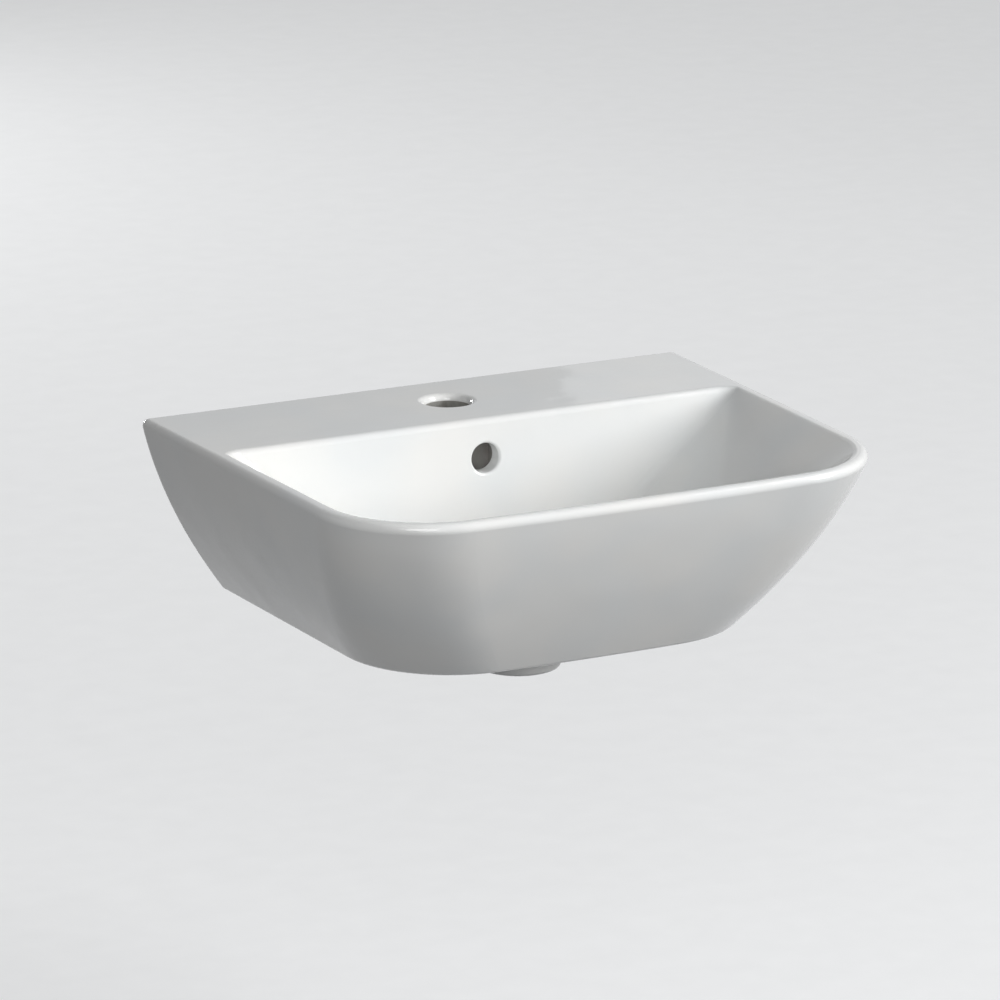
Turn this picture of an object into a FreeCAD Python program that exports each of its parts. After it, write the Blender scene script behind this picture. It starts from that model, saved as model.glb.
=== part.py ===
"""A 450 mm wall hung basin: one vitreous china casting and the two wall fixings that carry it.

Frame: millimetres, +Z up, +Y into the wall. The wall's surface is the plane Y = 0 and the origin is
the middle of the line between the two fixing holes, so the drilling marks lie at Z = 0.
Inside the basin's own body, Z = 0 is the top of the tap deck, and the whole body is then lifted to
the height of the deck above the fixing line.
"""
import FreeCAD
import Part

import math
import os

import Sketcher

Vector = FreeCAD.Vector

# Every size that can be set by itself, in millimetres, or in degrees where the name says so.
SIZES = {
    # the casting's outside
    "basin_width": 452.0,
    "basin_depth": 373.0,
    "skirt_height": 139.5,
    "side_inset": 65.5,
    "front_inset": 85.5,
    "corner_radius": 86.0,
    "corner_shrink": 1.0,
    "taper_degrees": 1.6,
    "bow_degrees": 4.7,
    "rim_round": 5.0,
    "foot_round": 7.0,
    "foot_inside_round": 2.5,
    "back_round": 6.0,
    "skirt_wall": 12.0,
    "hollow_round": 5.0,
    # the tap deck
    "deck_depth": 119.0,
    "deck_thickness": 12.0,
    "tap_hole_diameter": 35.0,
    "tap_hole_setback": 58.0,
    "tap_hole_flare": 5.0,
    # the bowl
    "rim_width": 11.5,
    "bowl_depth": 118.0,
    "bowl_side_run": 136.0,
    "bowl_front_run": 108.0,
    "bowl_back_run": 7.0,
    "bowl_corner_shrink": 24.0,
    "bowl_round": 7.0,
    "bowl_back_wall": 10.0,
    "bowl_side_wall": 14.0,
    "bowl_floor_wall": 12.0,
    "underside_corner": 24.0,
    "underside_round": 12.0,
    # the waste boss and its outlet
    "outlet_setback": 171.5,
    "outlet_diameter": 46.0,
    "boss_diameter": 64.0,
    "boss_drop": 175.0,
    "boss_round": 2.5,
    "flange_seat_diameter": 63.0,
    "flange_seat_depth": 4.0,
    "chamber_diameter": 52.0,
    # the overflow
    "overflow_diameter": 22.5,
    "overflow_drop": 30.0,
    "overflow_round": 2.0,
    "duct_width": 26.0,
    "duct_gap": 10.0,
    "duct_wall": 7.0,
    # the back panel and the wall fixings
    "panel_thickness": 12.0,
    "fixing_spacing": 280.0,
    "fixing_drop": 62.0,
    "fixing_hole_diameter": 22.0,
    "notch_width": 150.0,
    "notch_height": 58.0,
    "notch_round": 24.0,
    "plug_diameter": 14.0,
    "plug_length": 70.0,
    "plug_neck": 22.0,
    "plug_barb": 1.2,
    "plug_slit": 2.4,
    "bolt_diameter": 10.0,
    "bolt_in_wall": 62.0,
    "bolt_in_room": 34.0,
    "bolt_point": 9.0,
    "flange_diameter": 34.0,
    "flange_thickness": 3.0,
    "washer_diameter": 21.0,
    "washer_thickness": 2.0,
    "nut_across_flats": 16.0,
    "nut_height": 8.4,
    "cap_diameter": 27.0,
    "cap_wall": 1.6,
    "cap_length": 25.0,
    "cap_round": 3.5,
    "running_clearance": 0.15,
}

# How much of each wall's run is curved: 0 is a straight slope, 1 leaves the rim upright.
SIDE_FULLNESS = 0.55
FRONT_FULLNESS = 0.3
# Where the outer shell's cross-sections lie, as shares of the skirt's height.
SHELL_LEVELS = (0.0, 0.25, 0.5, 0.75, 1.0)
# How deep in the deck the walls below it start, as a share of the deck's thickness.
ROOT_IN_DECK = 0.8
# How far the overflow duct rises above the mouth's centre, as a share of the mouth's diameter.
DUCT_RISE = 0.6
# A cut through a wall is this much longer than the wall is thick.
THROUGH = 1.5
# The block that cuts the back flat is this much wider and taller than the back.
OVERSIZE = 1.2
# The wall plug's barbs, and where each one's crest lies along its own length.
PLUG_BARBS = 5
BARB_CREST = 0.8
# The chamfer on the bolt's ends, as a share of the bolt's diameter.
BOLT_CHAMFER = 0.1
# How far short of the wall the bush's sleeve ends, as a share of the panel's thickness.
SLEEVE_GAP = 0.1

# Two places closer than the first count as one; the second is how near an edge is looked for.
TOUCH = 0.001
NEAR = 1.0

# The sketcher's own numbers for the points of a piece, and for the axes and the origin of a sketch.
START, END, CENTRE = 1, 2, 3
X_AXIS, Y_AXIS = -1, -2
ORIGIN = (X_AXIS, START)

doc = FreeCAD.newDocument("wall_hung_basin")
sheet = doc.addObject("Spreadsheet::Sheet", "sizes")


def fill_sheet():
    """Write every driving size to its own cell, under its own name."""
    for row, (name, value) in enumerate(SIZES.items(), start=1):
        sheet.set(f"A{row}", name)
        sheet.set(f"B{row}", str(value))
        sheet.setAlias(f"B{row}", name)
    doc.recompute()


def size(name):
    """The sheet's number for one size."""
    return float(sheet.get(name))


def number(terms):
    """The value of a sum of sizes, given as {size name: factor}."""
    return sum(factor * size(name) for name, factor in terms.items())


def formula(terms):
    """The same sum, written as an expression on the sheet's cells."""
    return " + ".join(f"({factor:.9g}) * sizes.{name}" for name, factor in terms.items())


def plus(*sums):
    """Add sums of sizes together."""
    total = {}
    for terms in sums:
        for name, factor in terms.items():
            total[name] = total.get(name, 0.0) + factor
    return total


def minus(terms):
    """Turn a sum of sizes negative."""
    return {name: -factor for name, factor in terms.items()}


# ---------------------------------------------------------------- document helpers


def new_body(name):
    """A body whose label names the file of the piece."""
    body = doc.addObject("PartDesign::Body", name)
    body.Label = name
    return body


def origin_plane(body, role):
    """One of the body's own three planes."""
    return next(item for item in body.Origin.OriginFeatures if item.Role == role)


def new_sketch(body, name, role="XY_Plane", offset=None):
    """A sketch on one of the body's planes, moved along the plane's normal by a sum of sizes."""
    sketch = body.newObject("Sketcher::SketchObject", name)
    sketch.AttachmentSupport = [(origin_plane(body, role), "")]
    sketch.MapMode = "FlatFace"
    if offset:
        sketch.setExpression("AttachmentOffset.Base.z", formula(offset))
    return sketch


def tie(sketch, kind, *places):
    """Add a constraint that carries no size."""
    sketch.addConstraint(Sketcher.Constraint(kind, *places))


def drive(sketch, label, expression, kind, *places):
    """Add a driving dimension and bind it to an expression on the sheet's cells."""
    index = sketch.addConstraint(Sketcher.Constraint(kind, *places))
    sketch.renameConstraint(index, label)
    sketch.setExpression(f"Constraints.{label}", expression)


def dimension(sketch, label, terms, kind, *places):
    """Add a driving dimension and bind it to a sum of sizes."""
    drive(sketch, label, formula(terms), kind, *places, number(terms))


def line(sketch, start, end):
    """A straight piece between two points, each given as (x, y)."""
    return sketch.addGeometry(Part.LineSegment(Vector(*start, 0), Vector(*end, 0)), False)


def full_circle(centre, radius):
    """A circle in the sketch's plane round a point given as (x, y)."""
    return Part.Circle(Vector(*centre, 0), Vector(0, 0, 1), radius)


def arc(sketch, centre, radius, start, end):
    """A round piece that turns anticlockwise from one angle to the other."""
    return sketch.addGeometry(Part.ArcOfCircle(full_circle(centre, radius), start, end), False)


def join(sketch, kind, chain):
    """Tie the end of each piece of a chain to the start of the next one."""
    for first, second in zip(chain, chain[1:]):
        tie(sketch, kind, first, END, second, START)


def closed_lines(sketch, points):
    """A closed run of straight lines through the points, each given as (x, y)."""
    lines = [line(sketch, start, end) for start, end in zip(points, points[1:] + points[:1])]
    join(sketch, "Coincident", lines + lines[:1])
    return lines


def polygon(sketch, corners):
    """A closed run of straight lines through the corners. Each corner is a pair of sums of sizes."""
    lines = closed_lines(sketch, [(number(across), number(along)) for across, along in corners])
    for index, (across, along) in enumerate(corners):
        place_point(sketch, f"p{index}", lines[index], START, across, along)


def place_point(sketch, label, geometry, end, across, along):
    """Place one point of the sketch at a pair of sums of sizes, measured from the sketch's origin."""
    for kind, axis, suffix, terms in (
        ("DistanceX", Y_AXIS, "x", across),
        ("DistanceY", X_AXIS, "y", along),
    ):
        if terms:
            dimension(sketch, f"{label}{suffix}", terms, kind, *ORIGIN, geometry, end)
        else:
            tie(sketch, "PointOnObject", geometry, end, axis)


def circle(sketch, radius, across, along):
    """A circle whose radius and centre are sums of sizes."""
    centre = (number(across), number(along))
    index = sketch.addGeometry(full_circle(centre, number(radius)), False)
    place_point(sketch, f"c{index}", index, CENTRE, across, along)
    dimension(sketch, f"radius{index}", radius, "Radius", index)


def rectangle(sketch, left, right, low, high):
    """A rectangle between four sums of sizes."""
    polygon(sketch, [(left, low), (right, low), (right, high), (left, high)])


def extrude(body, kind, name, sketch, length, reversed_way=False, both_ways=False):
    """A pad or a pocket of a sketch, as long as a sum of sizes."""
    feature = body.newObject(f"PartDesign::{kind}", name)
    feature.Profile = sketch
    feature.setExpression("Length", formula(length))
    feature.Reversed = reversed_way
    feature.Midplane = both_ways
    doc.recompute()


def loft(body, kind, name, sketches, ruled=False):
    """A loft through cross-sections that all have the same number of pieces."""
    feature = body.newObject(f"PartDesign::{kind}", name)
    feature.Profile = sketches[0]
    feature.Sections = sketches[1:]
    feature.Ruled = ruled
    doc.recompute()


def round_edges(body, name, radius, wanted):
    """Round every edge of the body that the test picks out by its place."""
    base = body.Tip
    names = [f"Edge{index}" for index, edge in enumerate(base.Shape.Edges, start=1) if wanted(edge)]
    feature = body.newObject("PartDesign::Fillet", name)
    feature.Base = (base, names)
    feature.setExpression("Radius", formula(radius))
    doc.recompute()


def revolve(body, name, corners):
    """Turn a closed profile about the body's Y axis: each corner is (radius, place along Y)."""
    sketch = new_sketch(body, f"{name}_profile")
    polygon(sketch, corners)
    feature = body.newObject("PartDesign::Revolution", name)
    feature.Profile = sketch
    feature.ReferenceAxis = (sketch, ["V_Axis"])
    feature.Angle = 360.0
    doc.recompute()


def level_edge(height):
    """A test for edges that lie flat at one height."""
    def wanted(edge):
        box = edge.BoundBox
        return abs(box.ZMin - height) < TOUCH and abs(box.ZMax - height) < TOUCH
    return wanted


def edge_along_wall(place):
    """A test for edges that lie in a plane parallel to the wall, at one place along Y."""
    def wanted(edge):
        box = edge.BoundBox
        return abs(box.YMin - place) < TOUCH and abs(box.YMax - place) < TOUCH
    return wanted


# ---------------------------------------------------------------- the casting's outlines


def outline(body, name, below, half_width, depth, corner, back, rear_corner=None):
    """One level cross-section of the casting: straight back, tapering sides, rounded front.

    The two side lines close in towards the front by the taper, the front is one shallow arc, and the
    front corners are arcs tangent to both. half_width is measured on the wall's surface, to which
    the side lines are extended. With a rear corner the back corners are tangent arcs too.
    """
    sketch = new_sketch(body, name, offset=minus(below))
    taper = math.radians(size("taper_degrees"))
    rear = number(rear_corner or {})
    side_y = -number(back) - rear * (1 + math.sin(taper))
    side_start = (number(half_width) + math.tan(taper) * side_y, side_y)
    chain = draw_front(sketch, number(half_width), number(depth), number(corner), side_start)
    back_line = draw_back(sketch, chain, side_start, back, rear_corner)

    left_side, left_front, front, right_front, right_side = chain
    tie(sketch, "Symmetric", left_side, START, right_side, END, Y_AXIS)
    tie(sketch, "Equal", right_front, left_front)
    tie(sketch, "PointOnObject", front, CENTRE, Y_AXIS)
    tie(sketch, "Horizontal", front, START, front, END)
    dimension(sketch, "back", back, "DistanceY", back_line, START, *ORIGIN)
    dimension(sketch, "corner", corner, "Radius", right_front)
    place_on(sketch, "half_width", half_width, right_side, X_AXIS)
    place_on(sketch, "depth", depth, front, Y_AXIS)
    bow = math.radians(size("bow_degrees"))
    drive(sketch, "bow", "sizes.bow_degrees", "Angle", front, bow)
    drive(sketch, "taper", "90 - sizes.taper_degrees", "Angle", right_side, math.pi / 2 - taper)
    return sketch


def draw_front(sketch, half_width, depth, corner, side_start):
    """Draw the left side, the rounded front and the right side, in that order."""
    taper = math.radians(size("taper_degrees"))
    bow = math.radians(size("bow_degrees") / 2)
    reach = half_width * math.cos(taper) - corner - (depth - corner) * math.sin(taper)
    spread = math.sin(bow) * math.cos(taper) - (1 - math.cos(bow)) * math.sin(taper)
    offset = reach / spread
    x = offset * math.sin(bow)
    y = corner - depth + offset * (1 - math.cos(bow))
    side_end = (x + corner * math.cos(taper), y - corner * math.sin(taper))
    front_radius = offset + corner
    down = 1.5 * math.pi
    chain = [
        line(sketch, mirrored(side_start), mirrored(side_end)),
        arc(sketch, (-x, y), corner, math.pi + taper, down - bow),
        arc(sketch, (0, front_radius - depth), front_radius, down - bow, down + bow),
        arc(sketch, (x, y), corner, down + bow, 2 * math.pi - taper),
        line(sketch, side_end, side_start),
    ]
    join(sketch, "Tangent", chain)
    return chain


def draw_back(sketch, chain, side_start, back, rear_corner):
    """Close the outline at the back, and return the back's own line."""
    left_side = chain[0]
    right_side = chain[-1]
    if not rear_corner:
        back_line = line(sketch, side_start, mirrored(side_start))
        join(sketch, "Coincident", [right_side, back_line, left_side])
        return back_line
    taper = math.radians(size("taper_degrees"))
    radius = number(rear_corner)
    x = side_start[0] - radius * math.cos(taper)
    y = -number(back)
    right = arc(sketch, (x, y - radius), radius, -taper, math.pi / 2)
    back_line = line(sketch, (x, y), (-x, y))
    left = arc(sketch, (-x, y - radius), radius, math.pi / 2, math.pi + taper)
    join(sketch, "Tangent", [right_side, right, back_line, left, left_side])
    dimension(sketch, "rear_corner", rear_corner, "Radius", right)
    tie(sketch, "Equal", right, left)
    return back_line


def mirrored(point):
    """The same point on the other side of the basin's middle."""
    x, y = point
    return (-x, y)


def place_on(sketch, label, terms, piece, axis):
    """Make a piece, or the line it lies on, meet an axis at a sum of sizes from the origin."""
    value = number(terms)
    if axis == X_AXIS:
        kind = "DistanceX"
        place = Vector(value, 0, 0)
    else:
        kind = "DistanceY"
        place = Vector(0, -value, 0)
    meeting = sketch.addGeometry(Part.Point(place), True)
    tie(sketch, "PointOnObject", meeting, START, axis)
    tie(sketch, "PointOnObject", meeting, START, piece)
    if axis == X_AXIS:
        dimension(sketch, label, terms, kind, *ORIGIN, meeting, START)
    else:
        dimension(sketch, label, terms, kind, meeting, START, *ORIGIN)


def shell_sizes(level):
    """Half width, depth and corner radius of the outer shell at a share of the skirt's height."""
    side_share = (1 - SIDE_FULLNESS) * level + SIDE_FULLNESS * level**2
    front_share = (1 - FRONT_FULLNESS) * level + FRONT_FULLNESS * level**2
    half_width = {"basin_width": 0.5, "side_inset": -side_share}
    depth = {"basin_depth": 1.0, "front_inset": -front_share}
    corner = {"corner_radius": 1.0, "corner_shrink": -level}
    return half_width, depth, corner


def bowl_sizes(level):
    """Half width, depth, corner radius and back of the bowl at a share of the bowl's depth."""
    half_width = {"basin_width": 0.5, "rim_width": -1.0, "bowl_side_run": -level}
    depth = {"basin_depth": 1.0, "rim_width": -1.0, "bowl_front_run": -level}
    corner = {"corner_radius": 1.0, "rim_width": -1.0, "bowl_corner_shrink": -level}
    back = {"deck_depth": 1.0, "bowl_back_run": level}
    return half_width, depth, corner, back


# ---------------------------------------------------------------- the casting


def make_shell(body):
    """The solid outer form, cut flat at the wall, with its rim, foot and back edges rounded."""
    sections = []
    past_wall = {"back_round": -1.0}
    for index, level in enumerate(SHELL_LEVELS):
        half_width, depth, corner = shell_sizes(level)
        name = f"shell_section_{index}"
        below = {"skirt_height": level}
        sections.append(outline(body, name, below, half_width, depth, corner, past_wall))
    loft(body, "AdditiveLoft", "shell", sections)

    wall_side = new_sketch(body, "wall_side", role="XZ_Plane")
    across = {"basin_width": 0.5 * OVERSIZE}
    low = {"skirt_height": -OVERSIZE}
    high = {"skirt_height": OVERSIZE - 1.0}
    rectangle(wall_side, minus(across), across, low, high)
    extrude(body, "Pocket", "flat_back", wall_side, {"back_round": THROUGH})

    foot = -size("skirt_height")

    def in_front(height):
        flat = level_edge(height)
        return lambda edge: flat(edge) and edge.CenterOfMass.y < -TOUCH

    round_edges(body, "outer_rim_rounding", {"rim_round": 1.0}, in_front(0.0))
    round_edges(body, "foot_rounding", {"foot_round": 1.0}, in_front(foot))
    round_edges(body, "back_rounding", {"back_round": 1.0}, edge_along_wall(0.0))


def make_hollow(body):
    """Hollow the form from below, leaving the deck, the skirt and the back panel."""
    sections = []
    levels = (size("deck_thickness") / size("skirt_height"),) + SHELL_LEVELS[1:]
    wall = {"skirt_wall": -1.0}
    panel = {"panel_thickness": 1.0}
    rear = {"skirt_wall": 0.5}
    for index, level in enumerate(levels):
        name = f"hollow_section_{index}"
        below = {"skirt_height": level} if index else {"deck_thickness": 1.0}
        inner = [plus(terms, wall) for terms in shell_sizes(level)]
        sections.append(outline(body, name, below, *inner, panel, rear))
    loft(body, "SubtractiveLoft", "hollow", sections)
    ceiling = level_edge(-size("deck_thickness"))
    round_edges(body, "hollow_rounding", {"hollow_round": 1.0}, ceiling)

    foot = level_edge(-size("skirt_height"))
    feet = [face for face in body.Tip.Shape.Faces if all(foot(edge) for edge in face.Edges)]
    inner = [
        edge for face in feet for wire in face.Wires if not wire.isSame(face.OuterWire)
        for edge in wire.Edges
    ]

    def hollow_mouth(edge):
        return any(edge.isSame(item) for item in inner)

    round_edges(body, "foot_inside_rounding", {"foot_inside_round": 1.0}, hollow_mouth)


def make_bowl(body):
    """The bowl: its shell is added inside the hollow and its inside is then cut out."""
    side_wall = {"bowl_side_wall": 1.0}
    back_wall = {"bowl_back_wall": 1.0}
    start = {"deck_thickness": ROOT_IN_DECK}
    start_level = number(start) / size("bowl_depth")
    end = {"bowl_depth": 1.0, "bowl_floor_wall": 1.0}

    def outside_section(name, level, below):
        half_width, depth, corner, back = bowl_sizes(level)
        outer = [plus(terms, side_wall) for terms in (half_width, depth, corner)]
        rear_corner = {"underside_corner": 1.0}
        return outline(body, name, below, *outer, plus(back, minus(back_wall)), rear_corner)

    outside = [
        outside_section("bowl_outside_top", start_level, start),
        outside_section("bowl_outside_floor", 1.0, end),
    ]
    loft(body, "AdditiveLoft", "bowl_shell", outside, ruled=True)
    round_edges(body, "underside_rounding", {"underside_round": 1.0}, level_edge(-number(end)))

    inside = [
        outline(body, name, {"bowl_depth": level}, *bowl_sizes(level))
        for name, level in (("bowl_inside_rim", 0.0), ("bowl_inside_floor", 1.0))
    ]
    loft(body, "SubtractiveLoft", "bowl", inside, ruled=True)
    floor = level_edge(-size("bowl_depth"))
    rearmost = -size("deck_depth") + NEAR
    wall_foot = rearmost - size("bowl_back_run") - 2 * NEAR

    def floor_or_crease(edge):
        box = edge.BoundBox
        tall = box.ZLength > size("bowl_depth") / 2
        return floor(edge) or (tall and wall_foot < box.YMin and box.YMax < rearmost)

    round_edges(body, "bowl_rounding", {"bowl_round": 1.0}, floor_or_crease)

    rim = level_edge(0.0)
    widest = size("basin_width") / 2 - size("rim_width") + NEAR
    foremost = -size("basin_depth") + size("rim_width") - NEAR

    def bowl_rim(edge):
        box = edge.BoundBox
        inside_x = box.XMin > -widest and box.XMax < widest
        return rim(edge) and inside_x and box.YMin > foremost and box.YMax < rearmost

    round_edges(body, "inner_rim_rounding", {"rim_round": 1.0}, bowl_rim)


def side_profile(body, name, corners):
    """A closed profile seen from the side: each corner is (distance from the wall, depth)."""
    sketch = new_sketch(body, name, role="YZ_Plane")
    polygon(sketch, [(minus(along), minus(below)) for along, below in corners])
    return sketch


def make_overflow(body):
    """The overflow duct: down behind the bowl, then forward under its floor to the waste boss."""
    wall_back = {"deck_depth": 1.0, "bowl_back_wall": -1.0}
    duct_back = plus(wall_back, {"duct_gap": -1.0})
    outer_back = plus(duct_back, {"duct_wall": -1.0})
    in_wall = {"deck_depth": 1.0, "bowl_back_wall": -0.5}
    in_wall_low = plus(in_wall, {"bowl_back_run": 1.0})
    in_floor = {"bowl_depth": 1.0, "bowl_floor_wall": 0.5}
    ceiling = {"bowl_depth": 1.0, "bowl_floor_wall": 1.0}
    gully = plus(ceiling, {"duct_gap": 1.0})
    keel = plus(gully, {"duct_wall": 1.0})
    centre = {"outlet_setback": 1.0}
    in_deck = {"deck_thickness": ROOT_IN_DECK}

    outside = side_profile(
        body, "duct_outside",
        [
            (outer_back, in_deck), (outer_back, keel), (centre, keel), (centre, in_floor),
            (in_wall_low, in_floor), (in_wall, in_deck),
        ],
    )
    extrude(body, "Pad", "duct", outside, {"duct_width": 1.0, "duct_wall": 2.0}, both_ways=True)
    bottom = level_edge(-number(keel))

    def heel(edge):
        box = edge.BoundBox
        return bottom(edge) and abs(box.YMin + number(outer_back)) < TOUCH and box.YLength < TOUCH

    round_edges(body, "duct_heel_rounding", {"duct_wall": 1.0}, heel)
    make_boss(body, in_floor, ceiling)

    top = {"overflow_drop": 1.0, "overflow_diameter": -DUCT_RISE}
    passage = side_profile(
        body, "duct_passage",
        [
            (duct_back, top), (duct_back, gully), (centre, gully), (centre, ceiling),
            (wall_back, ceiling), (wall_back, top),
        ],
    )
    extrude(body, "Pocket", "passage", passage, {"duct_width": 1.0}, both_ways=True)
    make_overflow_mouth(body, wall_back)


def make_overflow_mouth(body, wall_back):
    """The round mouth through the bowl's back wall into the duct, with its rounded lip."""
    in_duct = plus(wall_back, {"duct_gap": -0.5})
    mouth = new_sketch(body, "mouth_circle", role="XZ_Plane", offset=in_duct)
    circle(mouth, {"overflow_diameter": 0.5}, {}, {"overflow_drop": -1.0})
    reach = {"duct_gap": 0.5, "bowl_back_wall": THROUGH, "bowl_back_run": 1.0}
    extrude(body, "Pocket", "mouth", mouth, reach, reversed_way=True)

    half = size("overflow_diameter") / 2 + NEAR
    centre_height = -size("overflow_drop")

    def lip(edge):
        box = edge.BoundBox
        across = -half < box.XMin and box.XMax < half < box.XLength
        level = abs(edge.CenterOfMass.z - centre_height) < NEAR
        return across and level and box.YMax < -size("deck_depth")

    round_edges(body, "mouth_rounding", {"overflow_round": 1.0}, lip)


def make_boss(body, start, ceiling):
    """The waste boss under the bowl, its outlet bore, overflow chamber and the waste's seat."""
    setback = {"outlet_setback": -1.0}
    drop = {"boss_drop": 1.0}

    def disc(name, diameter, below):
        sketch = new_sketch(body, name, offset=minus(below))
        circle(sketch, {diameter: 0.5}, {}, setback)
        return sketch

    boss = disc("boss_circle", "boss_diameter", start)
    extrude(body, "Pad", "boss", boss, plus(drop, minus(start)), reversed_way=True)
    foot = level_edge(-size("boss_drop"))
    round_edges(body, "boss_rounding", {"boss_round": 1.0}, foot)

    floor = {"bowl_depth": 1.0}
    outlet = disc("outlet_circle", "outlet_diameter", floor)
    extrude(body, "Pocket", "outlet", outlet, plus(drop, minus(floor), {"duct_wall": 1.0}))
    seat = disc("seat_circle", "flange_seat_diameter", floor)
    extrude(body, "Pocket", "flange_seat", seat, {"flange_seat_depth": 1.0})
    chamber = disc("chamber_circle", "chamber_diameter", ceiling)
    extrude(body, "Pocket", "chamber", chamber, {"duct_gap": 1.0})


def make_openings(body):
    """The tap hole, the two fixing holes and the notch for the pipes in the back panel."""
    tap = new_sketch(body, "tap_circle")
    circle(tap, {"tap_hole_diameter": 0.5}, {}, {"tap_hole_setback": -1.0})
    extrude(body, "Pocket", "tap_hole", tap, {"deck_thickness": THROUGH})
    hole = size("tap_hole_diameter")
    flat = level_edge(0.0)

    def tap_edge(edge):
        box = edge.BoundBox
        return flat(edge) and abs(box.XLength - hole) < TOUCH and abs(box.YLength - hole) < TOUCH

    round_edges(body, "tap_hole_rounding", {"tap_hole_flare": 1.0}, tap_edge)

    fixings = new_sketch(body, "fixing_circles", role="XZ_Plane")
    for half in (-0.5, 0.5):
        across = {"fixing_spacing": half}
        circle(fixings, {"fixing_hole_diameter": 0.5}, across, {"fixing_drop": -1.0})
    through = {"panel_thickness": THROUGH}
    extrude(body, "Pocket", "fixing_holes", fixings, through, reversed_way=True)

    notch = new_sketch(body, "notch_outline", role="XZ_Plane")
    top = {"skirt_height": -1.0, "notch_height": 1.0}
    below = {"skirt_height": -1.0, "foot_round": -1.0}
    rectangle(notch, {"notch_width": -0.5}, {"notch_width": 0.5}, below, top)
    extrude(body, "Pocket", "pipe_notch", notch, through, reversed_way=True)

    def notch_corner(edge):
        box = edge.BoundBox
        at_top = abs(edge.CenterOfMass.z - number(top)) < TOUCH and box.ZLength < TOUCH
        return at_top and abs(abs(edge.CenterOfMass.x) - size("notch_width") / 2) < TOUCH

    round_edges(body, "notch_rounding", {"notch_round": 1.0}, notch_corner)


def make_casting():
    """The whole one-piece basin."""
    body = new_body("basin_body")
    make_shell(body)
    make_hollow(body)
    make_bowl(body)
    make_overflow(body)
    make_openings(body)
    body.setExpression("Placement.Base.z", "sizes.fixing_drop")
    return body


# ---------------------------------------------------------------- the wall fixings


def fixing_body(name, side):
    """A body for one piece of a fixing, centred on the hole of its side."""
    body = new_body(f"{name}_{side}")
    sign = -0.5 if side == "left" else 0.5
    body.setExpression("Placement.Base.x", f"{sign} * sizes.fixing_spacing")
    return body


def make_plug(side):
    """The nylon plug in the wall: a plain neck, barbed and slit behind it."""
    body = fixing_body("wall_plug", side)
    crest = {"plug_diameter": 0.5}
    root = plus(crest, {"plug_barb": -1.0})
    bore = {"bolt_diameter": 0.5, "running_clearance": 1.0}
    corners = [(bore, {}), (crest, {}), (crest, {"plug_neck": 1.0})]
    for barb in range(PLUG_BARBS):
        foot = barb / PLUG_BARBS
        peak = (barb + BARB_CREST) / PLUG_BARBS
        for radius, share in ((root, foot), (crest, peak)):
            corners.append((radius, {"plug_neck": 1.0 - share, "plug_length": share}))
    corners.append((root, {"plug_length": 1.0}))
    corners.append((bore, {"plug_length": 1.0}))
    revolve(body, "plug", corners)

    slit = new_sketch(body, "slit_outline", role="YZ_Plane")
    half = {"plug_slit": 0.5}
    past_neck = {"plug_neck": 1.0, "plug_slit": 1.0}
    rectangle(slit, past_neck, {"plug_length": 1.0, "plug_slit": 1.0}, minus(half), half)
    extrude(body, "Pocket", "slit", slit, {"plug_diameter": THROUGH}, both_ways=True)
    return body


def make_bolt(side):
    """The hanger bolt: a point in the plug, and a blunt threaded end in the room."""
    body = fixing_body("hanger_bolt", side)
    thread = {"bolt_diameter": 0.5}
    tip = {"bolt_diameter": BOLT_CHAMFER}
    front = {"bolt_in_room": -1.0}
    wall_end = {"bolt_in_wall": 1.0}
    revolve(
        body, "bolt",
        [
            ({}, wall_end), (tip, wall_end), (thread, plus(wall_end, {"bolt_point": -1.0})),
            (thread, plus(front, tip)), (plus(thread, minus(tip)), front), ({}, front),
        ],
    )
    return body


def make_bush(side):
    """The flanged plastic bush that keeps the bolt and the washer off the china."""
    body = fixing_body("flanged_bush", side)
    bore = {"bolt_diameter": 0.5, "running_clearance": 1.0}
    sleeve = {"fixing_hole_diameter": 0.5, "running_clearance": -1.0}
    flange = {"flange_diameter": 0.5}
    behind = {"panel_thickness": -SLEEVE_GAP}
    seat = {"panel_thickness": -1.0}
    face = {"panel_thickness": -1.0, "flange_thickness": -1.0}
    revolve(
        body, "bush",
        [(bore, behind), (sleeve, behind), (sleeve, seat), (flange, seat), (flange, face), (bore, face)],
    )
    return body


def make_washer(side):
    """The steel washer between the bush and the nut."""
    body = fixing_body("washer", side)
    bore = {"bolt_diameter": 0.5, "running_clearance": 2.0}
    rim = {"washer_diameter": 0.5}
    seat = {"panel_thickness": -1.0, "flange_thickness": -1.0}
    face = plus(seat, {"washer_thickness": -1.0})
    revolve(body, "washer", [(bore, seat), (rim, seat), (rim, face), (bore, face)])
    return body


def make_nut(side):
    """The hexagon nut on the bolt."""
    body = fixing_body("nut", side)
    seat = {"panel_thickness": 1.0, "flange_thickness": 1.0, "washer_thickness": 1.0}
    sketch = new_sketch(body, "hexagon", role="XZ_Plane", offset=seat)
    corner = {"nut_across_flats": 1 / math.sqrt(3)}
    turns = [math.radians(turn) for turn in range(0, 360, 60)]
    reach = number(corner)
    flats = closed_lines(sketch, [(reach * math.cos(turn), reach * math.sin(turn)) for turn in turns])
    ring = sketch.addGeometry(full_circle((0, 0), reach), True)
    tie(sketch, "Coincident", ring, CENTRE, *ORIGIN)
    for flat in flats:
        tie(sketch, "PointOnObject", flat, START, ring)
    for flat in flats[1:]:
        tie(sketch, "Equal", flats[0], flat)
    tie(sketch, "Horizontal", flats[1])
    dimension(sketch, "corner_radius", corner, "Radius", ring)
    circle(sketch, {"bolt_diameter": 0.5, "running_clearance": 1.0}, {}, {})
    extrude(body, "Pad", "nut", sketch, {"nut_height": 1.0})
    return body


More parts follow.
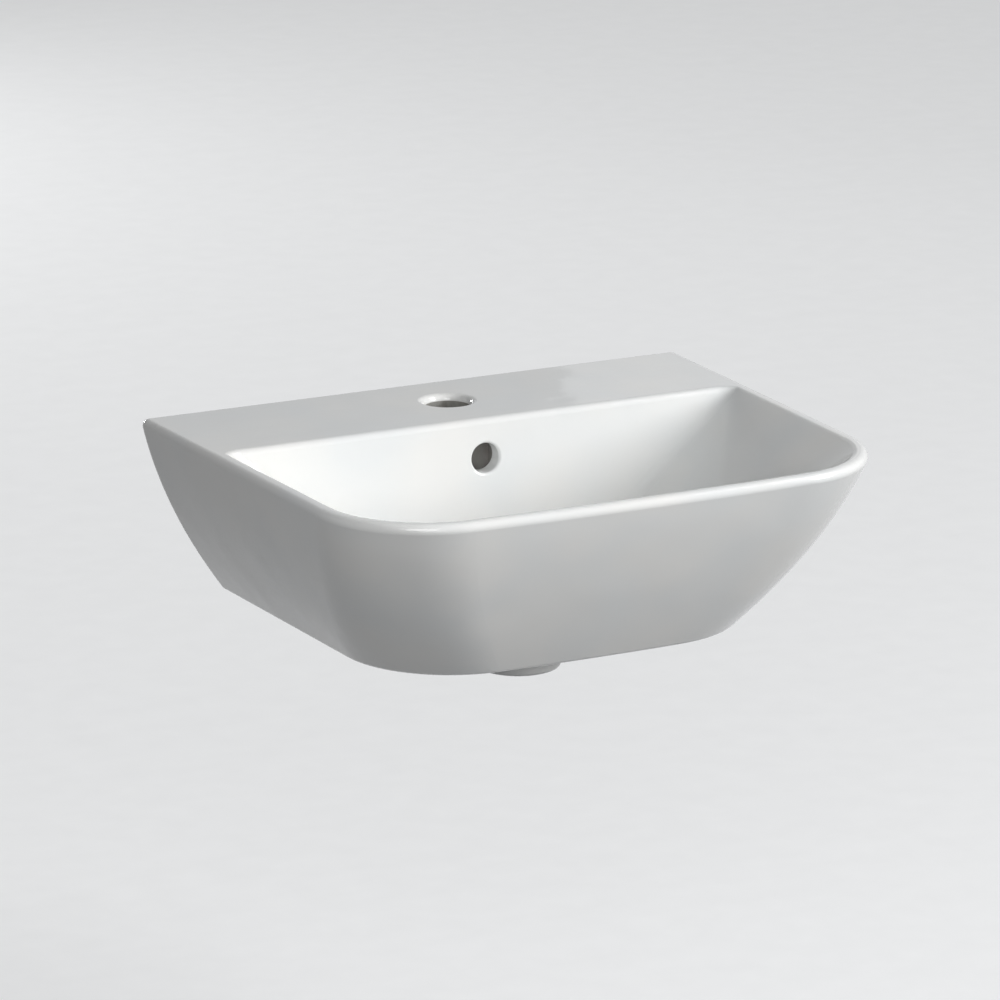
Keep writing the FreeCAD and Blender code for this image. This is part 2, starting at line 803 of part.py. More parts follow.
def make_cap(side):
    """The plastic cap that clips over the nut and the end of the bolt."""
    body = fixing_body("bolt_cap", side)
    outer = {"cap_diameter": 0.5}
    inner = plus(outer, {"cap_wall": -1.0})
    seat = {"panel_thickness": -1.0, "flange_thickness": -1.0}
    crown = plus(seat, {"cap_length": -1.0})
    ceiling = plus(crown, {"cap_wall": 1.0})
    revolve(
        body, "cap",
        [(inner, seat), (outer, seat), (outer, crown), ({}, crown), ({}, ceiling), (inner, ceiling)],
    )
    for name, radius, place in (
        ("crown_rounding", {"cap_round": 1.0}, crown),
        ("inner_rounding", {"cap_round": 1.0, "cap_wall": -1.0}, ceiling),
    ):
        round_edges(body, name, radius, edge_along_wall(number(place)))
    return body


def make_fixings():
    """Both wall fixings, each with its plug, bolt, bush, washer, nut and cap."""
    makers = (make_plug, make_bolt, make_bush, make_washer, make_nut, make_cap)
    return [make(side) for side in ("left", "right") for make in makers]


def check_document():
    """Stop if any object failed or any sub-part is not a sound solid."""
    for item in doc.Objects:
        if "Invalid" in item.State or "Error" in item.State:
            raise RuntimeError(f"{item.Name} failed: {item.State}")


def write_parts(bodies):
    """Write one file for each sub-part."""
    os.makedirs("parts", exist_ok=True)
    for body in bodies:
        shape = body.Shape
        if shape.isNull() or not shape.isValid():
            raise RuntimeError(f"{body.Label} has no sound shape")
        print(body.Label, len(shape.Solids), round(shape.Volume), shape.BoundBox)
        shape.exportStep(f"parts/{body.Label}.step")


fill_sheet()
pieces = [make_casting()] + make_fixings()
doc.recompute()
check_document()
write_parts(pieces)
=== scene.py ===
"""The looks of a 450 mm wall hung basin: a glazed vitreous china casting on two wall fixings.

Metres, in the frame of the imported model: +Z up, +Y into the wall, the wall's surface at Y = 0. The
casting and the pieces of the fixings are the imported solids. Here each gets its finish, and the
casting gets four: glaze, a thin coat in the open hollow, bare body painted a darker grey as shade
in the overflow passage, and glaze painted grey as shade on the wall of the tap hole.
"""

import logging
import math
from dataclasses import dataclass, field
from enum import Enum
from typing import Any, Mapping, Sequence

import bpy
import numpy as np
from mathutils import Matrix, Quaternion, Vector

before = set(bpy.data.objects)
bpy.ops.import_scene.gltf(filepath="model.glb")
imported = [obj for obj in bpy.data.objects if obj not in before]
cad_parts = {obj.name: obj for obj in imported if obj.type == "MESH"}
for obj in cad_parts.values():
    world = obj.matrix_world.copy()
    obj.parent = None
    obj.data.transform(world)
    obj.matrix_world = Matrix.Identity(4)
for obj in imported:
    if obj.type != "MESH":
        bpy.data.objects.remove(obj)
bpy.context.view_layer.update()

log = logging.getLogger("wall_hung_basin")

MILLIMETRE = 0.001

# How a noise is read: over nearly all of its values, or only near their middle.
NOISE_WIDE = {"From Min": 0.3, "From Max": 0.7}
NOISE_NARROW = {"From Min": 0.35, "From Max": 0.65}
# The refractive index of dry ceramic and of the plastics.
COMMON_IOR = 1.5


# ---------------------------------------------------------------- small helpers


class Side(Enum):
    """The two sides of the basin, each with its own wall fixing."""

    LEFT = "left"
    RIGHT = "right"


class Coating(Enum):
    """What lies on one face of the casting, as the number of its material slot."""

    GLAZE = 0
    THIN_COAT = 1
    BARE_BODY_PAINTED_SHADE = 2
    TAP_HOLE_PAINTED_SHADE = 3


def linear(colour: str) -> tuple[float, float, float, float]:
    """Turn an sRGB hex colour to the linear numbers that Blender's sockets take.

    Args:
        colour: The colour as "#RRGGBB".

    Returns:
        Red, green, blue and an alpha of 1, in linear light.
    """
    shares = [int(colour[place : place + 2], 16) / 255 for place in (1, 3, 5)]
    lit = [
        share / 12.92 if share <= 0.04045 else ((share + 0.055) / 1.055) ** 2.4
        for share in shares
    ]
    return lit[0], lit[1], lit[2], 1.0


def repeats(size_mm: float) -> float:
    """The scale of a pattern whose features are this many millimetres across.

    Args:
        size_mm: The real size of one feature.

    Returns:
        Features per metre, which is the scale on Object coordinates.
    """
    return 1.0 / (size_mm * MILLIMETRE)


def add_node(
    tree: bpy.types.NodeTree,
    kind: str,
    settings: Mapping[str | int, Any] | None = None,
    links: Mapping[str | int, bpy.types.NodeSocket] | None = None,
) -> bpy.types.Node:
    """Add one node, set its properties and sockets, and link its inputs.

    Args:
        tree: The node tree that gets the node.
        kind: The node's type, such as "ShaderNodeBump".
        settings: Values by property name, or by input name or number.
        links: The sockets that feed the inputs, by input name or number.

    Returns:
        The new node.
    """
    node = tree.nodes.new(kind)
    for name, value in (settings or {}).items():
        if isinstance(name, str) and hasattr(node, name):
            setattr(node, name, value)
        else:
            node.inputs[name].default_value = value
    for name, socket in (links or {}).items():
        tree.links.new(socket, node.inputs[name])
    return node


def new_material(name: str) -> bpy.types.Material:
    """An empty node material.

    Args:
        name: The finish's name.

    Returns:
        The material, with no nodes in it.
    """
    material = bpy.data.materials.new(name)
    material.use_nodes = True
    material.node_tree.nodes.clear()
    return material


# ---------------------------------------------------------------- finishes


@dataclass(frozen=True)
class GlazedVitreousChina:
    """White opaque glaze, sprayed on a slip cast vitreous body and fired.

    The glaze melts level, so it gives the eye sharp reflections that swim a little over a faint
    orange peel, on a white that is a shade cooler where the glaze lies thick. It stops short of
    the wall, where the casting is ground flat and the bare, sandy, cream body shows.
    """

    name: str = "glazed_vitreous_china"
    white: str = "#F3F3F1"
    pooled: str = "#EEF0F0"
    body: str = "#DCD6C9"
    body_speck: str = "#CFC7B7"
    warp_mm: float = 55.0
    warp_depth_mm: float = 0.8
    peel_mm: float = 14.0
    peel_depth_mm: float = 0.05
    pooling_mm: float = 70.0
    level_mm: float = 35.0
    gloss: tuple[float, float] = (0.05, 0.1)
    grit_mm: float = 1.2
    grit_depth_mm: float = 0.12
    bare_edge_mm: float = 1.0
    bare_blend: float = 0.2
    ragged_mm: float = 4.0
    ior: float = 1.52
    body_roughness: float = 0.85

    def material(self) -> bpy.types.Material:
        """Build the glaze, with bare body where it meets the wall.

        Returns:
            The finished material.
        """
        material = new_material(self.name)
        tree = material.node_tree
        place = add_node(tree, "ShaderNodeTexCoord").outputs["Object"]

        # Two reliefs make reflections swim: the clay's slow warp from drying and firing, and on it
        # the glaze's orange peel. Both are drawn deeper than the real ones, to show.
        warp = add_node(
            tree, "ShaderNodeTexNoise", {"Scale": repeats(self.warp_mm), "Detail": 1.0},
            {"Vector": place},
        )
        warp_relief = add_node(
            tree, "ShaderNodeBump", {"Distance": self.warp_depth_mm * MILLIMETRE},
            {"Height": warp.outputs["Fac"]},
        )
        peel = add_node(
            tree, "ShaderNodeTexNoise", {"Scale": repeats(self.peel_mm), "Detail": 1.0},
            {"Vector": place},
        )
        peel_relief = add_node(
            tree, "ShaderNodeBump", {"Distance": self.peel_depth_mm * MILLIMETRE},
            {"Height": peel.outputs["Fac"], "Normal": warp_relief.outputs["Normal"]},
        )
        pooling = add_node(
            tree, "ShaderNodeTexNoise", {"Scale": repeats(self.pooling_mm), "Detail": 1.0},
            {"Vector": place},
        )
        thickness = add_node(
            tree, "ShaderNodeMapRange", NOISE_NARROW, {"Value": pooling.outputs["Fac"]}
        )
        tint = add_node(
            tree, "ShaderNodeMix",
            {"data_type": "RGBA", 6: linear(self.white), 7: linear(self.pooled)},
            {0: thickness.outputs["Result"]},
        )
        level = add_node(
            tree, "ShaderNodeTexNoise", {"Scale": repeats(self.level_mm), "Detail": 1.0},
            {"Vector": place},
        )
        gloss = add_node(
            tree, "ShaderNodeMapRange",
            NOISE_WIDE | {"To Min": self.gloss[0], "To Max": self.gloss[1]},
            {"Value": level.outputs["Fac"]},
        )
        glaze = add_node(
            tree, "ShaderNodeBsdfPrincipled", {"IOR": self.ior},
            {
                "Base Color": tint.outputs[2],
                "Roughness": gloss.outputs["Result"],
                "Normal": peel_relief.outputs["Normal"],
            },
        )

        grit = add_node(
            tree, "ShaderNodeTexNoise", {"Scale": repeats(self.grit_mm), "Detail": 3.0},
            {"Vector": place},
        )
        grit_relief = add_node(
            tree, "ShaderNodeBump", {"Distance": self.grit_depth_mm * MILLIMETRE},
            {"Height": grit.outputs["Fac"]},
        )
        speckle = add_node(
            tree, "ShaderNodeMix",
            {"data_type": "RGBA", 6: linear(self.body), 7: linear(self.body_speck)},
            {0: grit.outputs["Fac"]},
        )
        biscuit = add_node(
            tree, "ShaderNodeBsdfPrincipled",
            {"IOR": COMMON_IOR, "Roughness": self.body_roughness},
            {"Base Color": speckle.outputs[2], "Normal": grit_relief.outputs["Normal"]},
        )

        edge = self.bare_edge_mm * MILLIMETRE
        across = add_node(tree, "ShaderNodeSeparateXYZ", {}, {"Vector": place})
        wander = add_node(
            tree, "ShaderNodeTexNoise", {"Scale": repeats(self.ragged_mm), "Detail": 2.0},
            {"Vector": place},
        )
        ragged = add_node(
            tree, "ShaderNodeMapRange",
            NOISE_WIDE | {"To Min": -edge / 2, "To Max": edge / 2},
            {"Value": wander.outputs["Fac"]},
        )
        from_wall = add_node(
            tree, "ShaderNodeMath", {"operation": "ADD"},
            {0: across.outputs["Y"], 1: ragged.outputs["Result"]},
        )
        bare = add_node(
            tree, "ShaderNodeMapRange",
            {
                "From Min": -(1 + self.bare_blend) * edge,
                "From Max": -(1 - self.bare_blend) * edge,
            },
            {"Value": from_wall.outputs[0]},
        )
        surface = add_node(
            tree, "ShaderNodeMixShader", {},
            {0: bare.outputs["Result"], 1: glaze.outputs[0], 2: biscuit.outputs[0]},
        )
        add_node(tree, "ShaderNodeOutputMaterial", {}, {"Surface": surface.outputs[0]})
        return material


@dataclass(frozen=True)
class DryCeramic:
    """Ceramic that the glaze spray hardly reaches: dull, dry and cloudy, with fine grit in it."""

    name: str
    coat: str
    body: str
    dullness: tuple[float, float]
    cloud_mm: float = 28.0
    grit_mm: float = 1.6
    grit_depth_mm: float = 0.15
    bare_span: tuple[float, float] = (0.42, 0.66)
    dull_span: tuple[float, float] = (0.4, 0.65)

    def material(self) -> bpy.types.Material:
        """Build the thin coat, broken by clouds of bare body.

        Returns:
            The finished material.
        """
        material = new_material(self.name)
        tree = material.node_tree
        place = add_node(tree, "ShaderNodeTexCoord").outputs["Object"]
        cloud = add_node(
            tree, "ShaderNodeTexNoise", {"Scale": repeats(self.cloud_mm), "Detail": 4.0},
            {"Vector": place},
        )
        patch = add_node(
            tree, "ShaderNodeMapRange",
            {"From Min": self.bare_span[0], "From Max": self.bare_span[1]},
            {"Value": cloud.outputs["Fac"]},
        )
        colour = add_node(
            tree, "ShaderNodeMix",
            {"data_type": "RGBA", 6: linear(self.coat), 7: linear(self.body)},
            {0: patch.outputs["Result"]},
        )
        dull = add_node(
            tree, "ShaderNodeMapRange",
            {
                "From Min": self.dull_span[0],
                "From Max": self.dull_span[1],
                "To Min": self.dullness[0],
                "To Max": self.dullness[1],
            },
            {"Value": cloud.outputs["Fac"]},
        )
        grit = add_node(
            tree, "ShaderNodeTexNoise", {"Scale": repeats(self.grit_mm), "Detail": 2.0},
            {"Vector": place},
        )
        relief = add_node(
            tree, "ShaderNodeBump", {"Distance": self.grit_depth_mm * MILLIMETRE},
            {"Height": grit.outputs["Fac"]},
        )
        skin = add_node(
            tree, "ShaderNodeBsdfPrincipled", {"IOR": COMMON_IOR},
            {
                "Base Color": colour.outputs[2],
                "Roughness": dull.outputs["Result"],
                "Normal": relief.outputs["Normal"],
            },
        )
        add_node(tree, "ShaderNodeOutputMaterial", {}, {"Surface": skin.outputs[0]})
        return material


@dataclass(frozen=True)
class MouldedPlastic:
    """An injection moulded plastic: an even colour with the fine texture of its steel mould."""

    name: str
    colour: str
    shade: str
    roughness: tuple[float, float]
    grain_mm: float
    grain_depth_mm: float
    flow_mm: float = 12.0

    def material(self) -> bpy.types.Material:
        """Build the plastic.

        Returns:
            The finished material.
        """
        material = new_material(self.name)
        tree = material.node_tree
        place = add_node(tree, "ShaderNodeTexCoord").outputs["Object"]
        grain = add_node(
            tree, "ShaderNodeTexNoise", {"Scale": repeats(self.grain_mm), "Detail": 2.0},
            {"Vector": place},
        )
        relief = add_node(
            tree, "ShaderNodeBump", {"Distance": self.grain_depth_mm * MILLIMETRE},
            {"Height": grain.outputs["Fac"]},
        )
        rough = add_node(
            tree, "ShaderNodeMapRange",
            NOISE_WIDE | {"To Min": self.roughness[0], "To Max": self.roughness[1]},
            {"Value": grain.outputs["Fac"]},
        )
        flow = add_node(
            tree, "ShaderNodeTexNoise", {"Scale": repeats(self.flow_mm), "Detail": 1.0},
            {"Vector": place},
        )
        drift = add_node(tree, "ShaderNodeMapRange", NOISE_WIDE, {"Value": flow.outputs["Fac"]})
        colour = add_node(
            tree, "ShaderNodeMix",
            {"data_type": "RGBA", 6: linear(self.colour), 7: linear(self.shade)},
            {0: drift.outputs["Result"]},
        )
        skin = add_node(
            tree, "ShaderNodeBsdfPrincipled", {"IOR": COMMON_IOR},
            {
                "Base Color": colour.outputs[2],
                "Roughness": rough.outputs["Result"],
                "Normal": relief.outputs["Normal"],
            },
        )
        add_node(tree, "ShaderNodeOutputMaterial", {}, {"Surface": skin.outputs[0]})
        return material


@dataclass(frozen=True)
class ZincPlatedSteel:
    """Rolled steel with a bright zinc coat: a cool metal, a little cloudy and crystalline."""

    name: str = "zinc_plated_steel"
    bright: str = "#C9CCCE"
    cloudy: str = "#A9AEB2"
    roughness: tuple[float, float] = (0.24, 0.42)
    crystal_mm: float = 2.5
    crystal_depth_mm: float = 0.01

    def material(self) -> bpy.types.Material:
        """Build the zinc coat.

        Returns:
            The finished material.
        """
        material = new_material(self.name)
        tree = material.node_tree
        place = add_node(tree, "ShaderNodeTexCoord").outputs["Object"]
        crystal = add_node(
            tree, "ShaderNodeTexNoise", {"Scale": repeats(self.crystal_mm), "Detail": 3.0},
            {"Vector": place},
        )
        relief = add_node(
            tree, "ShaderNodeBump", {"Distance": self.crystal_depth_mm * MILLIMETRE},
            {"Height": crystal.outputs["Fac"]},
        )
        share = add_node(
            tree, "ShaderNodeMapRange", NOISE_NARROW, {"Value": crystal.outputs["Fac"]}
        )
        colour = add_node(
            tree, "ShaderNodeMix",
            {"data_type": "RGBA", 6: linear(self.bright), 7: linear(self.cloudy)},
            {0: share.outputs["Result"]},
        )
        rough = add_node(
            tree, "ShaderNodeMapRange",
            NOISE_WIDE | {"To Min": self.roughness[0], "To Max": self.roughness[1]},
            {"Value": crystal.outputs["Fac"]},
        )
        metal = add_node(
            tree, "ShaderNodeBsdfPrincipled", {"Metallic": 1.0},
            {
                "Base Color": colour.outputs[2],
                "Roughness": rough.outputs["Result"],
                "Normal": relief.outputs["Normal"],
            },
        )
        add_node(tree, "ShaderNodeOutputMaterial", {}, {"Surface": metal.outputs[0]})
        return material


# In the open hollow under the basin: a dull white with pale brown breaks of bare body.
THIN_COAT = DryCeramic("thin_glaze_in_hollow", "#E9E6DE", "#D8D0C0", (0.38, 0.75))
# On the wall of the tap hole, which is punched before glazing: glaze painted grey as its shade.
TAP_HOLE_PAINTED_SHADE = DryCeramic("painted_shade_in_tap_hole", "#9E9D99", "#888681", (0.2, 0.4), 9.0, 2.0, 0.1)
# In the overflow passage: bare body, painted darker grey than its cream as the passage's shade.
BARE_BODY_PAINTED_SHADE = DryCeramic("bare_body_painted_shade_in_passages", "#9C9A96", "#8A8783", (0.7, 0.9), 18.0, 1.2, 0.1)
GREY_NYLON = MouldedPlastic("moulded_grey_nylon", "#8B8E90", "#85888A", (0.42, 0.58), 0.9, 0.02)
WHITE_POLYTHENE = MouldedPlastic(
    "moulded_white_polythene", "#E6E6E2", "#E1E1DC", (0.38, 0.5), 1.1, 0.015
)
GLOSSY_ABS = MouldedPlastic("polished_white_abs", "#EFEFEC", "#ECECE8", (0.12, 0.18), 1.4, 0.006)


# ---------------------------------------------------------------- the casting


@dataclass
class BasinCasting:
    """The one-piece basin: glazed outside and in the bowl, and drier where no spray reaches. Its
    passage and tap hole are painted grey as their shade.
    """

    node: str = "basin_body"
    finishes: Mapping[Coating, Any] = field(
        default_factory=lambda: {
            Coating.GLAZE: GlazedVitreousChina(),
            Coating.THIN_COAT: THIN_COAT,
            Coating.BARE_BODY_PAINTED_SHADE: BARE_BODY_PAINTED_SHADE,
            Coating.TAP_HOLE_PAINTED_SHADE: TAP_HOLE_PAINTED_SHADE,
        }
    )
    deck_top: float = 62.0 * MILLIMETRE
    deck_underside: float = 50.0 * MILLIMETRE
    foot: float = -77.5 * MILLIMETRE
    back_round: float = 6.0 * MILLIMETRE
    outlet: tuple[float, float] = (0.0, -171.5 * MILLIMETRE)
    outlet_radius: float = 23.0 * MILLIMETRE
    boss_radius: float = 32.0 * MILLIMETRE
    chamber_radius: float = 26.0 * MILLIMETRE
    tap_hole: tuple[float, float] = (0.0, -58.0 * MILLIMETRE)
    tap_hole_radius: float = 17.5 * MILLIMETRE
    tap_hole_flare: float = 5.0 * MILLIMETRE
    passage_half_width: float = 13.0 * MILLIMETRE
    passage_back: float = -99.0 * MILLIMETRE
    passage_front: float = -109.0 * MILLIMETRE
    passage_top: float = 45.5 * MILLIMETRE
    passage_ceiling: float = -68.0 * MILLIMETRE
    passage_floor: float = -78.0 * MILLIMETRE
    boss_rise: float = 9.0 * MILLIMETRE
    foot_facing: float = -0.98
    underside_facing: float = -0.9
    tolerance: float = 0.2 * MILLIMETRE
    same_place: float = 0.001 * MILLIMETRE

    def dress(self, casting: bpy.types.Object) -> dict[Coating, int]:
        """Give the casting its finishes, each on the faces that have it.

        Args:
            casting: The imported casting.

        Returns:
            How many of its faces each coating has.
        """
        mesh = casting.data
        mesh.materials.clear()
        for coating in Coating:
            mesh.materials.append(self.finishes[coating].material())
        centres, normals, faces = self.read(mesh)
        slots = np.full(len(faces), Coating.GLAZE.value, np.int32)
        slots[self.hollow_faces(centres, normals, faces)] = Coating.THIN_COAT.value
        # The overflow passage gets bare body painted a darker grey, as its painted shade.
        slots[self.passage_faces(centres)] = Coating.BARE_BODY_PAINTED_SHADE.value
        # The tap hole's wall gets glaze painted grey, as its painted shade.
        slots[self.tap_hole_faces(centres)] = Coating.TAP_HOLE_PAINTED_SHADE.value
        mesh.polygons.foreach_set("material_index", slots)
        mesh.update()
        return {coating: int((slots == coating.value).sum()) for coating in Coating}

    def read(self, mesh: bpy.types.Mesh) -> tuple[np.ndarray, np.ndarray, np.ndarray]:
        """Read where the casting's triangles lie and how they join.

        Args:
            mesh: The casting's mesh, of loose triangles.

        Returns:
            Each face's centre, its normal, and its three corners by number, where corners at the
            same place have the same number.
        """
        count = len(mesh.polygons)
        points = np.empty(len(mesh.vertices) * 3)
        mesh.vertices.foreach_get("co", points)
        centres = np.empty(count * 3)
        mesh.polygons.foreach_get("center", centres)
        normals = np.empty(count * 3)
        mesh.polygons.foreach_get("normal", normals)
        corners = np.empty(count * 3, np.int32)
        mesh.polygons.foreach_get("vertices", corners)
        rounded = np.round(points.reshape(-1, 3) / self.same_place).astype(np.int64)
        shared = np.unique(rounded, axis=0, return_inverse=True)[1].reshape(-1)
        return centres.reshape(-1, 3), normals.reshape(-1, 3), shared[corners].reshape(-1, 3)

    def away(self, centres: np.ndarray, middle: Sequence[float]) -> np.ndarray:
        """How far each centre lies from an upright axis through this place."""
        return np.hypot(centres[:, 0] - middle[0], centres[:, 1] - middle[1])

    def hollow_faces(
        self, centres: np.ndarray, normals: np.ndarray, faces: np.ndarray
    ) -> np.ndarray:
        """Find the faces in the hollow, from the deck's underside out to the foot and the wall.

        Args:
            centres: Each face's centre.
            normals: Each face's normal.
            faces: Each face's three corners by number.

        Returns:
            One truth value for each face.
        """
        near = self.tolerance
        closed = centres[:, 1] > -self.back_round - near
        closed |= (centres[:, 2] < self.foot + near) & (normals[:, 2] < self.foot_facing)
        boss = self.away(centres, self.outlet) < self.boss_radius + near
        closed |= boss & (centres[:, 2] < self.foot + self.boss_rise)
        flared = self.tap_hole_radius + self.tap_hole_flare + near
        in_deck = centres[:, 2] > self.deck_underside + near
        closed |= (self.away(centres, self.tap_hole) < flared) & in_deck

        neighbours: dict[tuple[int, int], list[int]] = {}
        for index, face in enumerate(faces.tolist()):
            for start, end in zip(face, face[1:] + face[:1]):
                neighbours.setdefault((min(start, end), max(start, end)), []).append(index)
        found = np.abs(centres[:, 2] - self.deck_underside) < near
        found &= normals[:, 2] < self.underside_facing
        waiting = np.flatnonzero(found).tolist()
        while waiting:
            face = faces[waiting.pop()].tolist()
            for start, end in zip(face, face[1:] + face[:1]):
                for other in neighbours[(min(start, end), max(start, end))]:
                    if not found[other] and not closed[other]:
                        found[other] = True
                        waiting.append(other)
        return found

    def passage_faces(self, centres: np.ndarray) -> np.ndarray:
        """Find the faces inside the overflow passage, from behind the mouth to the outlet.

        Args:
            centres: Each face's centre.

        Returns:
            One truth value for each face.
        """
        near = self.tolerance
        aside, forward, up = np.abs(centres[:, 0]), centres[:, 1], centres[:, 2]
        within = (aside < self.passage_half_width + near) & (forward < self.passage_back + near)
        behind = within & (forward > self.passage_front - near)
        behind &= (up < self.passage_top + near) & (up > self.passage_floor - near)
        low = (up < self.passage_ceiling + near) & (up > self.passage_floor - near)
        below = within & low & (forward > self.outlet[1] - near)
        from_outlet = self.away(centres, self.outlet)
        chamber = low & (from_outlet < self.chamber_radius + near)
        chamber &= from_outlet > self.outlet_radius + near
        return behind | below | chamber

    def tap_hole_faces(self, centres: np.ndarray) -> np.ndarray:
        """Find the faces on the straight wall of the tap hole, below its rounded mouth.

        Args:
            centres: Each face's centre.

        Returns:
            One truth value for each face.
        """
        wall = np.abs(self.away(centres, self.tap_hole) - self.tap_hole_radius) < self.tolerance
        up = centres[:, 2]
        return wall & (up < self.deck_top - self.tap_hole_flare) & (up > self.deck_underside)


# ---------------------------------------------------------------- the wall fixings


@dataclass
class WallFixing:
    """One wall fixing: plug, hanger bolt, bush, washer, nut and cap."""

    side: Side
    finishes: Mapping[str, Any] = field(
        default_factory=lambda: {
            "wall_plug": GREY_NYLON,
            "hanger_bolt": ZincPlatedSteel(),
            "flanged_bush": WHITE_POLYTHENE,
            "washer": ZincPlatedSteel(),
            "nut": ZincPlatedSteel(),
            "bolt_cap": GLOSSY_ABS,
        }
    )

    def dress(self, nodes: Mapping[str, bpy.types.Object]) -> list[str]:
        """Give each piece of the fixing its finish.

        Args:
            nodes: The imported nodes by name.

        Returns:
            The names of the dressed nodes.
        """
        dressed = []
        for piece, finish in self.finishes.items():
            node = nodes[f"{piece}_{self.side.value}"]
            node.data.materials.clear()
            node.data.materials.append(finish.material())
            dressed.append(node.name)
        return dressed


# ---------------------------------------------------------------- the studio


@dataclass
class Softbox:
    """One square lamp behind a diffuser, aimed at the basin."""

    name: str
    place: tuple[float, float, float]
    size: tuple[float, float]
    power: float
    aim: tuple[float, float, float] = (0.0, -0.18, 0.0)

    def build(self) -> None:
        """Hang the lamp and turn it to its aim."""
        lamp = bpy.data.lights.new(self.name, "AREA")
        lamp.shape = "RECTANGLE"
        lamp.size, lamp.size_y = self.size
        lamp.energy = self.power
        softbox = bpy.data.objects.new(self.name, lamp)
        softbox.location = self.place
        facing = Vector(self.aim) - Vector(self.place)
        softbox.rotation_euler = facing.to_track_quat("-Z", "Y").to_euler()
        bpy.context.scene.collection.objects.link(softbox)


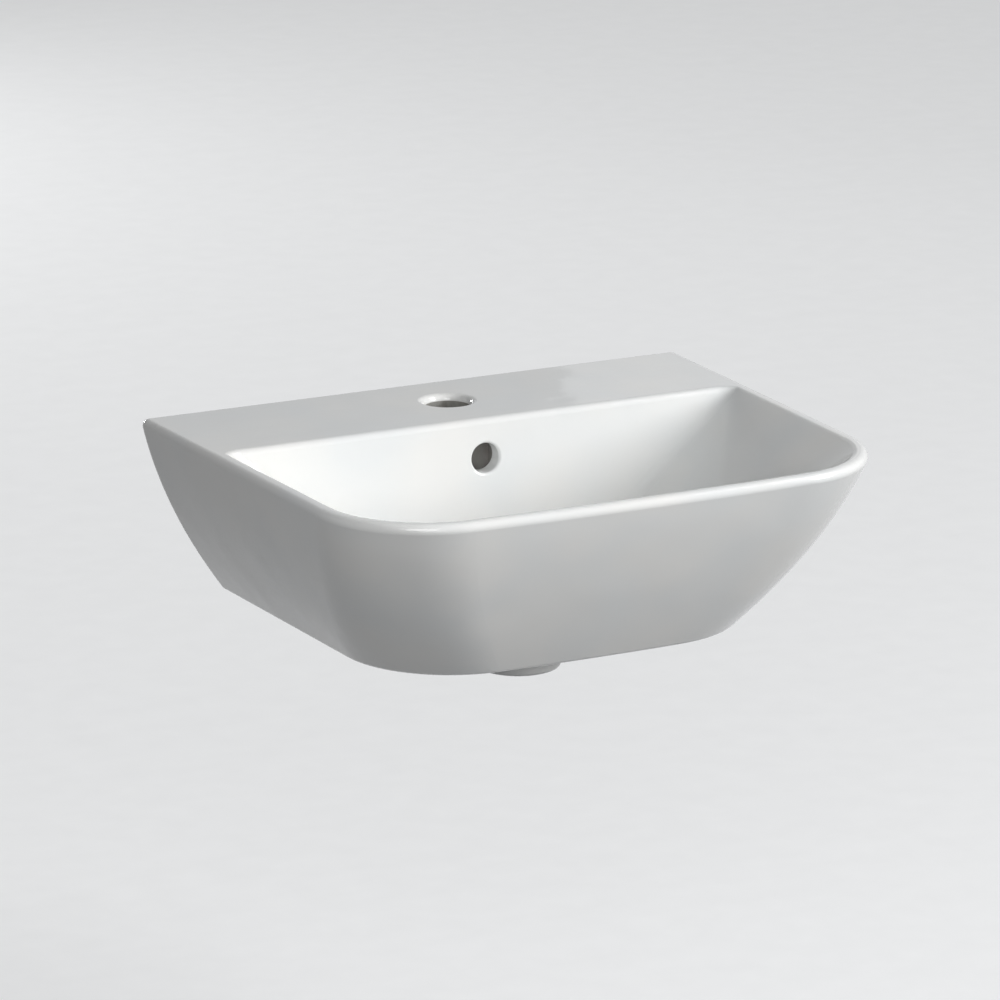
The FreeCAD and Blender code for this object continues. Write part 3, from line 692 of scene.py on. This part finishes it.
@dataclass
class Studio:
    """A pale floor, a dim even surround, soft lamps, and the camera at the photograph's angle."""

    floor_height: float = -0.42
    floor_size: float = 40.0
    floor_colour: str = "#F8F9FA"
    floor_mottle: str = "#F3F4F5"
    mottle_mm: float = 35.0
    floor_in_shade: str = "#48494A"
    floor_evenness: float = 0.6
    surround: str = "#D4D6D8"
    ambient: float = 0.08
    softboxes: tuple[Softbox, ...] = (
        Softbox("key_softbox", (2.4, -2.4, 1.0), (1.1, 1.1), 63.5),
        Softbox("upper_softbox", (2.6, -1.6, 2.4), (1.5, 1.5), 50.0),
        Softbox("low_softbox", (-1.2, -3.2, 0.3), (1.5, 1.5), 12.2),
        Softbox("left_softbox", (-0.8, -1.5, 0.7), (0.8, 0.8), 8.6),
        Softbox("rear_softbox", (1.95, 2.18, 0.88), (1.2, 1.2), 1.3),
        Softbox("wall_side_softbox", (-0.3, 4.0, 0.45), (1.0, 1.0), 54.0, (0.0, 0.0, 0.0)),
    )
    azimuth: float = 27.4734
    elevation: float = 15.7597
    roll: float = -0.0034
    distance: float = 4.1319
    focal_pixels: float = 5644.74
    target: tuple[float, float, float] = (0.0, -0.170, -0.008)
    target_offset: tuple[float, float] = (16.738, 26.594)
    picture_pixels: float = 1000.0
    sensor_mm: float = 36.0

    def floor_material(self) -> bpy.types.Material:
        """Matt floor paint: pale to the eye and in reflections, and darker to bounced light.

        Returns:
            The floor's material.
        """
        material = new_material("matt_floor_paint")
        tree = material.node_tree
        place = add_node(tree, "ShaderNodeTexCoord").outputs["Object"]
        mottle = add_node(
            tree, "ShaderNodeTexNoise", {"Scale": repeats(self.mottle_mm), "Detail": 2.0},
            {"Vector": place},
        )
        paint = add_node(
            tree, "ShaderNodeMix",
            {"data_type": "RGBA", 6: linear(self.floor_mottle), 7: linear(self.floor_colour)},
            {0: mottle.outputs["Fac"]},
        )
        lit = add_node(tree, "ShaderNodeBsdfDiffuse", {}, {"Color": paint.outputs[2]})
        even = add_node(tree, "ShaderNodeEmission", {"Strength": 1.0}, {"Color": paint.outputs[2]})
        pale = add_node(
            tree, "ShaderNodeMixShader", {0: self.floor_evenness},
            {1: lit.outputs[0], 2: even.outputs[0]},
        )
        shade = add_node(tree, "ShaderNodeBsdfDiffuse", {"Color": linear(self.floor_in_shade)})
        floor = add_node(
            tree, "ShaderNodeMixShader", {},
            {0: self.seen_share(tree), 1: shade.outputs[0], 2: pale.outputs[0]},
        )
        add_node(tree, "ShaderNodeOutputMaterial", {}, {"Surface": floor.outputs[0]})
        return material

    def seen_share(self, tree: bpy.types.NodeTree) -> bpy.types.NodeSocket:
        """One where the camera, a reflection or a refraction looks, and nought for bounced light.

        Args:
            tree: The node tree that gets the nodes.

        Returns:
            The share's socket.
        """
        path = add_node(tree, "ShaderNodeLightPath")
        total = path.outputs["Is Camera Ray"]
        for name in ("Is Glossy Ray", "Is Transmission Ray"):
            added = add_node(
                tree, "ShaderNodeMath", {"operation": "MAXIMUM"}, {0: total, 1: path.outputs[name]}
            )
            total = added.outputs[0]
        return total

    def build_world(self) -> None:
        """Light the scene with a dim even surround that the camera sees as pale."""
        world = bpy.data.worlds.new("studio_surround")
        world.use_nodes = True
        tree = world.node_tree
        tree.nodes.clear()
        dim = add_node(
            tree, "ShaderNodeBackground", {"Color": (1.0, 1.0, 1.0, 1.0), "Strength": self.ambient}
        )
        pale = add_node(
            tree, "ShaderNodeBackground", {"Color": linear(self.surround), "Strength": 1.0}
        )
        mixed = add_node(
            tree, "ShaderNodeMixShader", {},
            {0: self.seen_share(tree), 1: dim.outputs[0], 2: pale.outputs[0]},
        )
        add_node(tree, "ShaderNodeOutputWorld", {}, {"Surface": mixed.outputs[0]})
        bpy.context.scene.world = world

    def build_floor(self) -> None:
        """Lay the floor under the basin."""
        half = self.floor_size / 2
        corners = [(-half, -half), (half, -half), (half, half), (-half, half)]
        mesh = bpy.data.meshes.new("studio_floor")
        mesh.from_pydata([(x, y, self.floor_height) for x, y in corners], [], [(0, 1, 2, 3)])
        floor = bpy.data.objects.new("studio_floor", mesh)
        floor.data.materials.append(self.floor_material())
        bpy.context.scene.collection.objects.link(floor)

    def build_camera(self) -> None:
        """Set the camera where the photograph was taken from."""
        lens = bpy.data.cameras.new("photograph_camera")
        lens.sensor_width = self.sensor_mm
        lens.lens = self.focal_pixels * self.sensor_mm / self.picture_pixels
        lens.shift_x = -self.target_offset[0] / self.picture_pixels
        lens.shift_y = self.target_offset[1] / self.picture_pixels
        camera = bpy.data.objects.new("photograph_camera", lens)
        turn, lift = math.radians(self.azimuth), math.radians(self.elevation)
        back = Vector(
            (-math.sin(turn) * math.cos(lift), -math.cos(turn) * math.cos(lift), math.sin(lift))
        )
        camera.location = Vector(self.target) + back * self.distance
        upright = back.to_track_quat("Z", "Y")
        tilt = Vector((0.0, 0.0, 1.0))
        camera.rotation_mode = "QUATERNION"
        camera.rotation_quaternion = upright @ Quaternion(tilt, math.radians(self.roll))
        bpy.context.scene.collection.objects.link(camera)
        bpy.context.scene.camera = camera

    def build(self) -> None:
        """Build the floor, the surround, the lamps and the camera."""
        bpy.context.scene.view_settings.view_transform = "Standard"
        self.build_floor()
        self.build_world()
        for softbox in self.softboxes:
            softbox.build()
        self.build_camera()


def main() -> None:
    """Dress the basin and its fixings, and set up the studio."""
    logging.basicConfig(level=logging.INFO, format="%(name)s: %(message)s")
    for thing in bpy.context.selected_objects:
        thing.select_set(False)
    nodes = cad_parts
    casting = BasinCasting()
    for coating, count in casting.dress(nodes[casting.node]).items():
        log.info("%s: %s on %d faces", casting.node, coating.name.lower(), count)
    for side in Side:
        log.info("dressed %s", ", ".join(WallFixing(side).dress(nodes)))
    Studio().build()
    log.info("built the studio and the camera")


if __name__ == "__main__":
    main()
